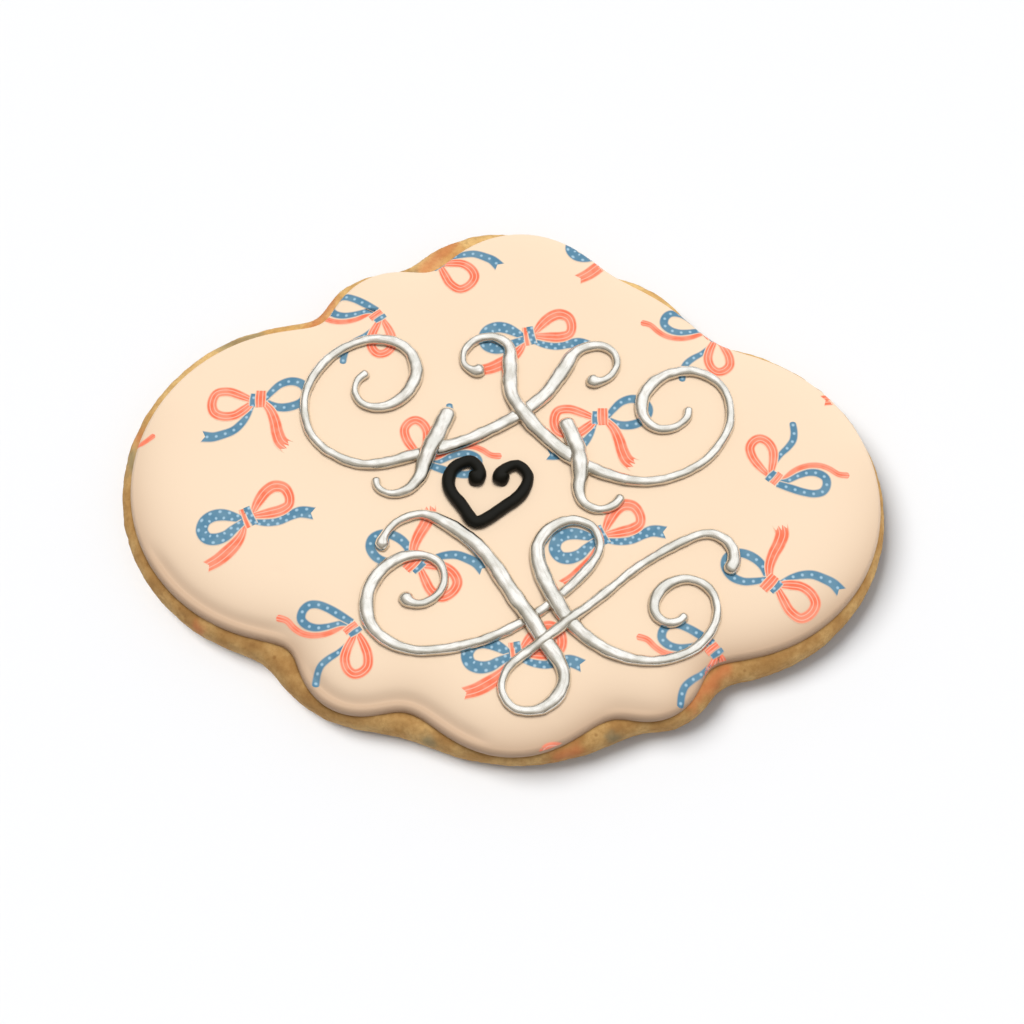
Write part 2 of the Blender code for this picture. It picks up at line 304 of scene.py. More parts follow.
icing = {
    "lobes": {
        "body": (1.5, -1.0, 27.0),
        "left": (-30.6, -1.7, 25.3),
        "upperLeft": (-17.7, 24.3, 10.0),
        "crown": (1.6, 27.3, 14.6),
        "upperRight": (10.4, 10.2, 24.1),
        "right": (31.7, -2.8, 24.8),
        "lowerRight": (22.3, -29.7, 7.0),
        "foot": (2.4, -28.9, 13.6),
        "lowerLeft": (-19.5, -28.7, 8.8),
        "belly": (2.1, -10.5, 28.2),
    },
    "notch": 2.1,
    "columns": 660,
    "widest": 0.12,  # height over the dough of the upright foot of the edge
    "round": 0.88,  # depth of the rounded edge
    "top": 2.12,  # over the icing's foot
    "slump": (0.5, 1.0),  # how far the edge lies below the top, at the back and at the front
    "slumpLength": (2.2, 3.2),
    "front": 245.0,  # degrees: where the flood slumped most
    "dome": 0.2,
    "domeSpan": (57.0, 43.0),
    "creases": [  # from and to in degrees, share of the depth, inset
        (193, 223, 1.5, 1.5),
        (227, 271, 1.5, 1.5),
        (291, 306, 0.5, 1.4),
    ],
    "creaseFade": 6.0,
    "creaseWidth": (0.4, 1.1),  # toward the edge, toward the middle
    "creaseDepth": 0.36,
    "dimples": [(14.3, -34.9), (9.3, -37.4), (-32.4, -17.0), (19.2, -28.5)],  # burst bubbles
    "dimple": (0.7, 0.06),  # radius, depth
    "rimSpan": (268.0, 100.0),  # middle and half span in degrees of the painted shade on the lower rims, from the left round to the right
    "rimWidth": 3.0,
    "colour": "#e3ccb1",
    "warm": "#e1c8ac",
    # tone of the painted shade on the lower rims
    "thin": "#ae9075",
}
icingEdge, icingInward = lobeOutline(icing["lobes"], icing["notch"], icing["columns"])

dough = {
    "lobes": {
        "body": (1.5, -1.0, 27.0),
        "left": (-30.2, -1.5, 27.4),
        "upperLeft": (-20.0, 25.4, 9.6),
        "crown": (-1.5, 24.6, 18.7),
        "upperRight": (15.0, 20.8, 14.8),
        "right": (30.4, -3.1, 27.1),
        "lowerRight": (23.8, -29.2, 7.9),
        "foot": (2.6, -12.2, 31.0),
        "lowerLeft": (-17.6, -21.6, 17.1),
    },
    "notch": 1.5,
    "round": 2.1,  # radius of the baked edge
    "columns": 1080,
    "pale": "#d6b174",
    "tan": "#c79b5d",
    # tone of the painted shade at the front of the dough
    "frontShade": "#977040",
    "frontShadeShare": (0.25, 0.8),  # painted shade at the front, its share low on the side and full on the upper edge
    "brown": "#7d5428",
    # tone of the painted shade where the icing's edge meets the dough
    "icingFootShade": "#76592e",
    "crumbSize": (0.45, 0.9, 2.2),
    "crumbDepth": (0.02, 0.05, 0.10),
    "spills": {  # ink that missed the icing: from, to, radius
        "coral": [
            ((-55.8, 5.2), (-54.9, 3.6), 0.9),
            ((-30.6, 25.2), (-28.2, 29.4), 1.1),
            ((-13.9, 35.4), (-9.9, 40.2), 1.4),
            ((27.8, -34.0), (33.2, -28.6), 1.1),
            ((9.4, -42.4), (11.9, -41.4), 1.0),
            ((-44.0, -24.8), (-43.4, -25.4), 0.7),
        ],
        "blue": [
            ((-56.5, 2.0), (-55.9, -0.6), 0.9),
            ((-44.3, 20.8), (-39.4, 23.0), 1.0),
            ((-18.4, 33.6), (-15.4, 34.6), 1.0),
            ((-9.4, -40.6), (-8.7, -41.0), 0.8),
            ((16.8, -39.3), (18.6, -39.6), 0.8),
        ],
    },
}


def doughMaterial():
    # butter dough, baked: dry and matt, a fine sugar grain in soft clouds of golden and brown, with painted
    # shade at the front and along the icing's foot
    made, tree = newMaterial("butter_dough_baked")
    spot = addNode(tree, "TexCoord", out=3)
    broad = addNode(tree, "TexNoise", {"Vector": spot, "Scale": 260.0, "Detail": 3.0})
    fine = addNode(tree, "TexNoise", {"Vector": spot, "Scale": 1300.0, "Detail": 4.0, "Roughness": 0.7})
    patch = addNode(tree, "MapRange", {0: broad, 1: 0.4, 2: 0.6})
    tan, pale, brown = (linear(dough[tone]) for tone in ("tan", "pale", "brown"))
    colour = addNode(tree, "Mix", {0: patch, 6: tan, 7: pale}, out=2, data_type="RGBA")
    # painted shade: darker toward the front, most on the upper edge, uneven in broad clouds
    front = addNode(tree, "SeparateXYZ", {0: spot}, out=1)
    front = addNode(tree, "MapRange", {0: front, 1: 0.02, 2: -0.02})
    high = addNode(tree, "SeparateXYZ", {0: spot}, out=2)
    low, full = dough["frontShadeShare"]
    high = addNode(tree, "MapRange", {0: high, 1: 3.2 * mm, 2: 5.0 * mm, 3: low, 4: full})
    front = addNode(tree, "Math", {0: front, 1: high}, operation="MULTIPLY")
    uneven = addNode(tree, "MapRange", {0: broad, 1: 0.35, 2: 0.65, 3: 1.25, 4: 0.7})
    front = addNode(tree, "Math", {0: front, 1: uneven}, operation="MULTIPLY")
    colour = addNode(tree, "Mix", {0: front, 6: colour, 7: linear(dough["frontShade"])}, out=2, data_type="RGBA")
    grain = addNode(tree, "MapRange", {0: fine, 1: 0.36, 2: 0.58, 3: 0.34, 4: 0.0})
    colour = addNode(tree, "Mix", {0: grain, 6: colour, 7: brown}, out=2, data_type="RGBA")
    cells = addNode(tree, "TexVoronoi", {"Vector": spot, "Scale": 330.0})
    speck = addNode(tree, "MapRange", {0: cells, 1: 0.05, 2: 0.12, 3: 0.55, 4: 0.0})
    colour = addNode(tree, "Mix", {0: speck, 6: colour, 7: brown}, out=2, data_type="RGBA")
    # the spills are ink; the last tone is painted shade along the icing's foot
    for name, tone in (("coralSpill", "#bf6a40"), ("blueSpill", "#686c58"), ("icingFootShade", dough["icingFootShade"])):
        share = addNode(tree, "Attribute", out=2, attribute_name=name)
        colour = addNode(tree, "Mix", {0: share, 6: colour, 7: linear(tone)}, out=2, data_type="RGBA")
    bump = addNode(tree, "Bump", {"Height": fine, "Strength": 0.4, "Distance": 0.05 * mm})
    finish = {"Base Color": colour, "Roughness": 0.85, "Specular IOR Level": 0.3, "Normal": bump}
    finishMaterial(tree, addNode(tree, "BsdfPrincipled", finish))
    return made


def spillShare(points, spills):
    # 0.6 * exp(-(distance to the stroke / radius) squared), with a ragged edge; it fell from
    # above, so it fades down the side
    ragged = 1 + 0.45 * latticeNoise(points, 0.8, 25)
    share = np.zeros(len(points))
    for start, stop, radius in spills:
        start, stop = np.array(start), np.array(stop)
        along = np.clip((points[:, :2] - start) @ (stop - start) / ((stop - start) ** 2).sum(), 0, 1)
        away = np.linalg.norm(points[:, :2] - start - along[:, None] * (stop - start), axis=1)
        share = np.maximum(share, 0.6 * np.exp(-((away * ragged / radius) ** 2)))
    return share * np.clip((points[:, 2] - 1.6) / 2.4, 0, 1)


def makeDough():
    edge, inward = lobeOutline(dough["lobes"], dough["notch"], dough["columns"])
    radius = dough["round"]
    arc = np.linspace(0, math.pi / 2, 12)
    side = [(radius * (1 - math.sin(a)), radius * (1 - math.cos(a))) for a in arc]
    straight = [(0.0, z) for z in np.linspace(radius, doughTop - radius, 6)[1:-1]]
    upper = [(inset, doughTop - z) for inset, z in reversed(side)]
    inner = edge + 3.2 * inward
    rings = [np.column_stack([share * inner, 0 * edge[:, 0]]) for share in (0.02, 0.4, 0.8, 0.95)]
    for inset, z in [(3.2, 0.0), (2.6, 0.0), *side, *straight, *upper, (2.4, doughTop), (2.8, doughTop)]:
        rings.append(np.column_stack([edge + inset * inward, np.full(len(edge), z)]))
    for share in [*np.linspace(1.0, 0.86, 24), 0.7, 0.4, 0.02]:
        rings.append(np.column_stack([share * inner, np.full(len(edge), doughTop)]))
    rings = np.array(rings)
    out = np.concatenate([-inward, np.zeros((len(edge), 1))], axis=1)
    roughness = sum(
        depth * latticeNoise(rings, size, 10 + number)
        for number, (size, depth) in enumerate(zip(dough["crumbSize"], dough["crumbDepth"]))
    )
    pits = np.clip(latticeNoise(rings, 1.1, 20) - 0.55, 0, None) * 0.35
    height = rings[..., 2:] / doughTop
    normal = out[None] * np.clip(1 - np.abs(2 * height - 1) ** 4, 0, 1)
    normal = normal + np.array([0, 0, 1.0]) * np.clip((height - 0.6) * 2.5, 0, 1)
    loose = np.clip(rings[..., 2] / 0.5, 0, 1)  # the underside stays flat on the tray
    rings = rings + normal * ((roughness - pits) * loose)[..., None]
    cookie = loft("sugar_cookie_dough", rings, doughMaterial())
    points = np.array([v.co for v in cookie.data.vertices]) / mm
    storeNumbers(cookie.data, "coralSpill", spillShare(points, dough["spills"]["coral"]))
    storeNumbers(cookie.data, "blueSpill", spillShare(points, dough["spills"]["blue"]))
    # painted shade: a dark line on the dough's top along the icing's foot
    line = np.exp(-((edgeDepth(points[:, :2]) / 0.3) ** 2)) * (points[:, 2] > doughTop - 0.8)
    storeNumbers(cookie.data, "icingFootShade", 0.2 * line)
    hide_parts("cookie")
    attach(cookie, "root")
    return cookie


makeDough()
print("dough made")


def creaseGroove(points, depth):
    # a bell where the flood met the piped border, wide on the flood's side, fading at its ends
    angle = np.degrees(np.arctan2(points[:, 1], points[:, 0])) % 360
    groove = np.zeros(len(points))
    for start, stop, strength, inset in icing["creases"]:
        inside = np.clip(np.minimum(angle - start, stop - angle) / icing["creaseFade"], 0, 1)
        width = np.where(depth < inset, *icing["creaseWidth"])
        bell = np.exp(-(((depth - inset) / width) ** 2))
        groove = np.maximum(groove, strength * inside * inside * (3 - 2 * inside) * bell)
    return icing["creaseDepth"] * groove


def icingProfile(points, depth):
    # height over the foot: the top, less a slump that dies away exponentially from the edge,
    # under a quarter ellipse at the edge, and less the groove along the crease
    s = icing
    angle = np.arctan2(points[:, 1], points[:, 0]) - math.radians(s["front"])
    front = (1 + np.cos(angle)) / 2
    (backDrop, frontDrop), (backLength, frontLength) = s["slump"], s["slumpLength"]
    drop = backDrop + (frontDrop - backDrop) * front
    length = backLength + (frontLength - backLength) * front
    low = s["widest"] - (icingFoot - doughTop)
    crown = s["top"] - drop * np.exp(-np.clip(depth - s["round"], 0, None) / length)
    shoulder = 1 - np.clip(depth / s["round"], 0, 1)
    return low + (crown - low) * np.sqrt(1 - shoulder**2) - creaseGroove(points, depth)


def paintedRimShade(points):
    # share of the painted rim shade: exp(-depth / width), on the lower rims from the left round to the
    # right
    middle, half = icing["rimSpan"]
    angle = np.degrees(np.arctan2(points[:, 1], points[:, 0])) - middle
    side = np.clip((half - np.abs((angle + 180) % 360 - 180)) / 30, 0, 1)
    return side * np.exp(-edgeDepth(points) / icing["rimWidth"])


def icingTop(points):
    # height of the icing's surface above the table at x, y
    flat = points.reshape(-1, 2)
    dome = icing["dome"] * (1 - ((flat / icing["domeSpan"]) ** 2).sum(axis=1))
    depth = edgeDepth(flat)
    settled = np.clip((depth - icing["round"]) / 4, 0, 1)
    sag = 0.03 * latticeNoise(np.column_stack([flat, np.zeros(len(flat))]), 14.0, 31)
    radius, deep = icing["dimple"]
    away = ((flat[:, None] - np.array(icing["dimples"])) ** 2).sum(axis=2)
    burst = deep * np.exp(-away / radius**2).sum(axis=1)
    height = icingFoot + icingProfile(flat, depth) + settled * (dome + sag) - burst
    return height.reshape(points.shape[:-1])


def icingColour(tree):
    # cream colouring that is a touch warmer in wide clouds, with painted shade along the lower rims
    spot = addNode(tree, "TexCoord", out=3)
    cloud = addNode(tree, "TexNoise", {"Vector": spot, "Scale": 45.0, "Detail": 1.0})
    cream, warm = linear(icing["colour"]), linear(icing["warm"])
    colour = addNode(tree, "Mix", {0: cloud, 6: cream, 7: warm}, out=2, data_type="RGBA")
    # share of the painted shade along the lower rims
    thin = addNode(tree, "Attribute", out=2, attribute_name="paintedRimShade")
    return addNode(tree, "Mix", {0: thin, 6: colour, 7: linear(icing["thin"])}, out=2, data_type="RGBA")


icingFinish = {"Roughness": 0.52, "Specular IOR Level": 0.26}


def icingMaterial():
    # royal icing, flooded and air dried: smooth and satin, no grain
    made, tree = newMaterial("royal_icing_flooded")
    shader = addNode(tree, "BsdfPrincipled", {"Base Color": icingColour(tree), **icingFinish})
    finishMaterial(tree, shader)
    return made


def makeIcing():
    s = icing
    low = doughTop + s["widest"]
    rings = []
    for share in (0.02, 0.5):
        rings.append(np.column_stack([share * icingEdge, np.full(len(icingEdge), doughTop - 0.1)]))
    for inset, z in [(0.2, doughTop - 0.1), (0.0, doughTop - 0.02), (0.0, low)]:
        rings.append(np.column_stack([icingEdge + inset * icingInward, np.full(len(icingEdge), z)]))
    arc = np.linspace(0, math.pi / 2, 11)[1:]
    insets = [*(s["round"] * (1 - np.cos(arc))), *np.linspace(s["round"], 3.8, 19)[1:]]
    for inset in insets:
        flat = icingEdge + inset * icingInward
        rings.append(np.column_stack([flat, icingTop(flat)]))
    inner = icingEdge + insets[-1] * icingInward
    for share in [*np.linspace(1, 0.8, 24)[1:], *np.linspace(0.8, 0.02, 60)[1:]]:
        rings.append(np.column_stack([share * inner, icingTop(share * inner)]))
    coat = loft("royal_icing_coat", rings, icingMaterial())
    points = np.array([v.co for v in coat.data.vertices]) / mm
    storeNumbers(coat.data, "paintedRimShade", paintedRimShade(points[:, :2]))
    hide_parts("icing")
    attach(coat, "root")


makeIcing()
print("icing made")


inks = {
    "coral": "#e8866a",
    "coralDeep": "#e66f50",
    "coralPale": "#ecb19c",
    "blue": "#5f8397",
    "blueDeep": "#507a92",
    "dot": "#9ab8c8",
    "dotRadius": 0.22,
    "softEdge": 0.22,  # width over which the ink fades out
    "filmHeight": 0.018,
    "filmStep": 0.012,  # between overlapping ribbons
}

# Each ribbon: ink, how it ends, layer, then x, y and breadth along it from the knot.
bows = {
    "wide": {
        "breadth": 1.06,
        "dotRows": 2,
        "ribbons": [
            (
                *("coral", "fork", 0),
                [
                    *((-0.7, 1.6, 0.45), (-0.6, 0.3, 0.5), (-0.6, -0.9, 0.7), (-1.1, -2.2, 1.15)),
                    *((-2.1, -3.4, 1.65), (-3.7, -4.6, 1.95), (-5.3, -5.5, 1.85), (-7.2, -6.1, 1.6)),
                ],
            ),
            (
                *("blue", "fork", 0),
                [
                    *((0.8, -0.7, 0.7), (2.6, -1.3, 1.05), (4.5, -1.5, 1.15)),
                    *((6.4, -1.0, 1.4), (7.9, -0.8, 1.7), (9.9, -1.5, 1.8)),
                ],
            ),
            (
                *("blue", "loop", 1),
                [
                    *((-0.6, -0.1, 0.9), (-2.3, 0.9, 1.5), (-3.5, 1.4, 1.75), (-4.9, 1.5, 1.75)),
                    *((-6.2, 0.9, 1.7), (-6.8, -0.4, 1.7), (-6.3, -1.7, 1.7), (-5.0, -2.2, 1.75)),
                    *((-3.5, -2.0, 1.6), (-2.3, -1.3, 1.35), (-0.6, -0.4, 0.9)),
                ],
            ),
            (
                *("coral", "loop", 1),
                [
                    *((0.9, 0.6, 0.7), (2.2, 2.4, 1.5), (3.5, 3.65, 1.7), (4.8, 4.15, 1.75)),
                    *((6.15, 3.6, 1.6), (6.7, 2.1, 1.4), (6.4, 0.8, 1.4), (5.2, 0.2, 1.6)),
                    *((3.3, 0.1, 1.5), (1.1, 0.2, 0.8)),
                ],
            ),
            ("coral", "band", 2, [(-0.5, 1.6, 0.5), (-0.3, 0.1, 0.5), (0.0, -1.5, 0.55)]),
            ("blue", "band", 2, [(0.2, 1.8, 0.9), (0.5, 0.3, 0.9), (1.0, -1.2, 0.8)]),
        ],
    },
    "open": {
        "breadth": 1.12,
        "dotRows": 1,
        "ribbons": [
            (
                *("blue", "fork", 0),
                [
                    *((1.0, 0.6, 0.35), (2.7, 1.4, 0.8), (4.2, 1.8, 1.1), (5.8, 1.9, 1.2)),
                    *((7.6, 1.3, 1.3), (8.8, 0.7, 1.4), (10.0, -0.5, 1.6)),
                ],
            ),
            (
                *("blue", "loop", 1),
                [
                    *((-0.8, 0.9, 0.6), (-1.6, 3.1, 1.15), (-3.1, 4.4, 1.3), (-5.1, 4.9, 1.2)),
                    *((-6.6, 4.1, 1.3), (-6.9, 2.7, 1.3), (-6.0, 1.2, 1.25), (-4.4, 0.5, 1.1)),
                    *((-2.6, 0.6, 0.95), (-0.8, 1.0, 0.65)),
                ],
            ),
            (
                *("coral", "fray", 2),
                [
                    *((-0.5, 0.9, 0.7), (-0.5, 2.9, 1.2), (0.1, 4.8, 1.5)),
                    *((1.0, 6.6, 1.65), (1.5, 8.2, 1.8), (1.2, 9.6, 1.8)),
                ],
            ),
            (
                *("coral", "loop", 1),
                [
                    *((0.5, 0.1, 0.7), (2.4, 0.2, 1.25), (4.1, 0.0, 1.3), (5.5, -1.0, 1.35)),
                    *((6.1, -2.4, 1.35), (5.4, -3.9, 1.3), (3.9, -4.7, 1.3), (2.4, -3.8, 1.3)),
                    *((1.4, -2.1, 1.2), (0.6, -0.4, 0.8)),
                ],
            ),
            ("coral", "band", 3, [(-1.5, -0.6, 1.25), (-0.6, 0.4, 1.35), (0.3, 1.5, 1.2)]),
            ("blue", "band", 2, [(-0.4, -0.9, 0.85), (0.3, -0.2, 0.95), (1.1, 0.6, 0.8)]),
        ],
    },
    "slim": {
        "breadth": 1.28,
        "dotRows": 1,
        "ribbons": [
            (
                *("blue", "round", 0),
                [
                    *((0.2, 2.0, 0.3), (1.2, 3.8, 0.65), (2.3, 5.0, 0.8)),
                    *((3.1, 6.2, 0.85), (3.3, 7.5, 0.85), (3.1, 9.3, 0.8)),
                ],
            ),
            (
                *("coral", "round", 0),
                [
                    *((0.8, -0.9, 0.3), (2.1, 0.3, 0.6), (3.1, 1.2, 0.62), (4.2, 1.8, 0.64)),
                    *((5.6, 2.2, 0.66), (7.1, 2.2, 0.68), (8.5, 1.7, 0.7), (9.8, 0.9, 0.72)),
                    (11.4, 0.8, 0.8),
                ],
            ),
            (
                *("coral", "loop", 1),
                [
                    *((-0.5, 0.1, 0.5), (-2.1, 1.8, 1.0), (-3.1, 3.3, 1.1), (-3.4, 4.8, 1.1)),
                    *((-2.75, 5.9, 1.1), (-1.8, 6.3, 1.1), (-0.75, 5.8, 1.1), (0.0, 4.5, 1.1)),
                    *((0.05, 3.0, 1.0), (-0.2, 1.5, 0.8), (-0.4, 0.3, 0.5)),
                ],
            ),
            (
                *("blue", "loop", 1),
                [
                    *((0.4, -0.8, 0.6), (2.0, -0.5, 0.6), (3.9, 0.5, 0.75), (5.4, 1.0, 0.88)),
                    *((6.8, 0.9, 0.98), (7.8, 0.2, 1.02), (7.9, -1.0, 1.0), (7.3, -2.0, 0.98)),
                    *((6.1, -2.4, 0.95), (4.4, -2.2, 0.97), (2.7, -1.7, 1.0), (0.5, -1.0, 0.8)),
                ],
            ),
            ("coral", "band", 2, [(-0.2, -1.0, 0.7), (0.5, -0.1, 0.8), (1.1, 0.7, 0.7)]),
            ("blue", "band", 2, [(-1.0, -0.5, 0.55), (-0.4, 0.2, 0.65), (0.3, 1.0, 0.5)]),
        ],
    },
    "tail": {
        "breadth": 1.28,
        "dotRows": 1,
        "ribbons": [("coral", "round", 0, [(-4.6, -2.0, 0.5), (-1.9, -1.4, 0.6), (0.0, 0.0, 0.7)])],
    },
}
printed = {
    "across": (52.0, -1.2),  # one repeat of the print along X
    "up": (0.3, 51.0),  # and along Y
    "places": {  # bow, x, y, turn in degrees
        "crown": ("wide", 3.0, 22.7, 0),
        "leftWing": ("wide", -37.5, -8.9, 15),
        "rightLow": ("open", 39.9, -16.7, 0),
        "leftHigh": ("open", -38.0, 10.6, 223),
        "rightHigh": ("slim", 40.3, 0.4, 0),
        "lowerRight": ("slim", 31.4, -26.7, 168),
    },
    "leftOut": [("crown", -1, -1), ("rightHigh", -2, 0)],  # copies: repeats across, repeats up
    "moved": {
        ("crown", 1, 0): (0.3, -1.8),
        ("leftHigh", 1, -1): (0.0, -1.0),
        ("leftWing", 1, 1): (1.0, 0.0),
    },
    "single": [("tail", -52.8, 4.4, 0)],
}


def inkMaterial(name, ink):
    # food colour jetted on dried icing: same satin, soft at its rims where it soaked in
    made, tree = newMaterial(name)
    ribbon = addNode(tree, "UVMap", uv_map="ribbon")
    across = addNode(tree, "SeparateXYZ", {0: ribbon}, out=0)
    along = addNode(tree, "SeparateXYZ", {0: ribbon}, out=1)
    size = addNode(tree, "UVMap", uv_map="breadth")
    half = addNode(tree, "SeparateXYZ", {0: size}, out=0)
    gap = addNode(tree, "SeparateXYZ", {0: size}, out=1)
    off = addNode(tree, "Math", {0: across, 1: half}, operation="MULTIPLY")
    away = addNode(tree, "Math", {0: off}, operation="ABSOLUTE")
    rim = addNode(tree, "Math", {0: half, 1: away}, operation="SUBTRACT")
    spot = addNode(tree, "TexCoord", out=3)
    cloud = addNode(tree, "TexNoise", {"Vector": spot, "Scale": 500.0, "Detail": 2.0})
    patch = addNode(tree, "MapRange", {0: cloud, 1: 0.4, 2: 0.6})
    light, deep = linear(inks[ink]), linear(inks[ink + "Deep"])
    colour = addNode(tree, "Mix", {0: patch, 6: light, 7: deep}, out=2, data_type="RGBA")
    if ink == "coral":
        line = addNode(tree, "Math", {0: half, 1: 0.36}, operation="MULTIPLY")
        line = addNode(tree, "Math", {0: away, 1: line}, operation="SUBTRACT")
        line = addNode(tree, "Math", {0: line}, operation="ABSOLUTE")
        cover = addNode(tree, "MapRange", {0: line, 1: 0.02, 2: 0.11, 3: 0.85, 4: 0.0})
        roomy = addNode(tree, "MapRange", {0: half, 1: 0.5, 2: 0.62})  # the slim ribbons have no lines
        cover = addNode(tree, "Math", {0: cover, 1: roomy}, operation="MULTIPLY")
        pale = linear(inks["coralPale"])
        colour = addNode(tree, "Mix", {0: cover, 6: colour, 7: pale}, out=2, data_type="RGBA")
    else:
        for side in (1, -1):
            period = addNode(tree, "MapRange", {0: gap, 1: 0.0, 2: 0.01, 3: 2.8, 4: 1.3})
            phase = addNode(tree, "Math", {0: along, 1: period}, operation="DIVIDE")
            phase = addNode(tree, "Math", {0: phase, 1: 0.25 * side}, operation="ADD")
            phase = addNode(tree, "Math", {0: phase}, operation="FRACT")
            phase = addNode(tree, "Math", {0: phase, 1: 0.5}, operation="SUBTRACT")
            phase = addNode(tree, "Math", {0: phase, 1: period}, operation="MULTIPLY")
            row = addNode(tree, "Math", {0: gap, 1: -side, 2: off}, operation="MULTIPLY_ADD")
            spread = addNode(tree, "CombineXYZ", {0: phase, 1: row})
            spread = addNode(tree, "VectorMath", {0: spread}, out=1, operation="LENGTH")
            inner, outer = inks["dotRadius"] - 0.1, inks["dotRadius"] + 0.08
            dot = addNode(tree, "MapRange", {0: spread, 1: inner, 2: outer, 3: 0.95, 4: 0.0})
            pale = linear(inks["dot"])
            colour = addNode(tree, "Mix", {0: dot, 6: colour, 7: pale}, out=2, data_type="RGBA")
    cover = addNode(tree, "MapRange", {0: rim, 1: 0.0, 2: inks["softEdge"]})
    # the ink fades into the icing's colour, its painted rim shade included
    colour = addNode(tree, "Mix", {0: cover, 6: icingColour(tree), 7: colour}, out=2, data_type="RGBA")
    finishMaterial(tree, addNode(tree, "BsdfPrincipled", {"Base Color": colour, **icingFinish}))
    return made


def ribbonGrid(bow, ribbon, knot, turn):
    # strip across its path: x, y = path + u * half breadth * left normal, u from -1 to 1;
    # a forked, frayed or round end stops earlier for some u
    ink, end, layer, points = ribbon
    path, run = smoothPath(points, 0.25)
    path[:, 2] = path[:, 2] * bow["breadth"] + inks["softEdge"]
    angle = math.radians(turn)
    spin = np.array([[math.cos(angle), math.sin(angle)], [-math.sin(angle), math.cos(angle)]])
    u = np.linspace(-1, 1, 9)
    tips = {
        "fork": 0.6 * (1 - np.abs(u)),
        "fray": 0.5 + 0.5 * np.cos(3 * math.pi * u),
        "round": path[-1, 2] / 2 * (1 - np.sqrt(1 - u * u)),
    }
    reach = run[:, None] * (1 - tips.get(end, 0 * u)[None] / run[-1])
    left = sideways(path)
    grid = np.stack([np.interp(reach, run, path[:, k]) for k in (0, 1)], axis=-1)
    normal = np.stack([np.interp(reach, run, left[:, k]) for k in (0, 1)], axis=-1)
    half = np.interp(reach, run, path[:, 2] / 2)
    grid = grid + normal * (u * half)[..., None]
    gap = (0.48 if bow["dotRows"] == 2 and ink == "blue" else 0.0) * half
    return grid @ spin + knot, u[None] + 0 * half, reach, half, gap, layer


def ribbonBody(name, grid, u, v, half, gap):
    # the strip at z 1 over itself at z -1, closed round its rim
    rows, columns = u.shape
    top = np.dstack([grid, np.ones_like(u)])
    bottom = np.dstack([grid, -np.ones_like(u)])[:, ::-1]
    rings = np.concatenate([top, bottom], axis=1)
    faces = ringFaces(rows, 2 * columns).tolist()
    last = (rows - 1) * 2 * columns
    for i in range(columns - 1):
        j = 2 * columns - 1 - i
        faces.append([i, i + 1, j - 1, j])
        faces.append([last + i, last + j, last + j - 1, last + i + 1])
    body = addMesh(name, rings.reshape(-1, 3) / mm, faces)
    corner = np.empty(len(body.data.loops), int)
    body.data.loops.foreach_get("vertex_index", corner)
    for layer, first, second in (("ribbon", u, v), ("breadth", half, gap)):
        both = [np.concatenate([part, part[:, ::-1]], axis=1).ravel() for part in (first, second)]
        values = np.stack(both, axis=1)[corner].astype(np.float32)
        body.data.uv_layers.new(name=layer).data.foreach_set("uv", values.ravel())
    return body


def outlineCutter(inset):
    flat = icingEdge + inset * icingInward
    count = len(flat)
    points = np.vstack([np.column_stack([flat, np.full(count, z)]) for z in (-3.0, 3.0)])
    faces = [*ringFaces(2, count).tolist(), list(range(count))[::-1], list(range(count, 2 * count))]
    return addMesh("outline", points / mm, faces, smooth=False)


def printKnots():
    # every copy of every bow of one repeat, in rows and columns of the repeat
    for name, (kind, x, y, turn) in printed["places"].items():
        for i, j in np.ndindex(5, 5):
            copy = (name, i - 2, j - 2)
            knot = np.array([x, y]) + copy[1] * np.array(printed["across"])
            knot = knot + copy[2] * np.array(printed["up"]) + printed["moved"].get(copy, (0, 0))
            if abs(knot[0]) < 75 and abs(knot[1]) < 60 and copy not in printed["leftOut"]:
                yield kind, knot, turn
    yield from ((kind, np.array([x, y]), turn) for kind, x, y, turn in printed["single"])


def trimmed(body, cutter):
    cut = body.modifiers.new("outline", "BOOLEAN")
    cut.operation = "INTERSECT"
    cut.object = cutter
    cut.use_self = True
    bpy.context.view_layer.update()
    mesh = bpy.data.meshes.new_from_object(body.evaluated_get(bpy.context.evaluated_depsgraph_get()))
    body.modifiers.clear()
    body.data = mesh


def makePrint():
    bodies = {"coral": [], "blue": []}
    cutter = outlineCutter(0.15)
    for kind, knot, turn in printKnots():
        for ribbon in bows[kind]["ribbons"]:
            grid, u, v, half, gap, layer = ribbonGrid(bows[kind], ribbon, knot, turn)
            depth = signedDepth(grid.reshape(-1, 2))
            if depth.max() < 0.2:
                continue
            body = ribbonBody(ribbon[0], grid, u, v, half, gap)
            if depth.min() < 0.2:
                trimmed(body, cutter)
            if len(body.data.polygons) == 0:
                bpy.data.objects.remove(body)
                continue
            settle(body.data, layer)
            bodies[ribbon[0]].append(body)
    bpy.data.objects.remove(cutter)
    for ink, name in (("coral", "coral_ribbon_print"), ("blue", "blue_ribbon_print")):
        bpy.ops.object.select_all(action="DESELECT")
        for body in bodies[ink]:
            body.select_set(True)
        bpy.context.view_layer.objects.active = bodies[ink][0]
        bpy.ops.object.join()
        whole = bodies[ink][0]
        whole.name = name
        whole.data.name = name
        whole.data.materials.clear()
        whole.data.materials.append(inkMaterial(name, ink))
        whole.data.shade_smooth()
        whole.data.set_sharp_from_angle(angle=math.radians(50))
        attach(whole, "root")
        print(name, len(whole.data.polygons), "faces")


def signedDepth(flat):
    # distance inside the icing's outline, negative outside, by the circles' own formula
    circles = np.array(list(icing["lobes"].values()))
    outside = np.hypot(*(flat[:, None] - circles[:, :2]).transpose(2, 0, 1)) - circles[:, 2]
    inside = -icing["notch"] * np.log(np.exp(-outside / icing["notch"]).sum(axis=1)) < 0
    return np.where(inside, 1, -1) * edgeDepth(flat)


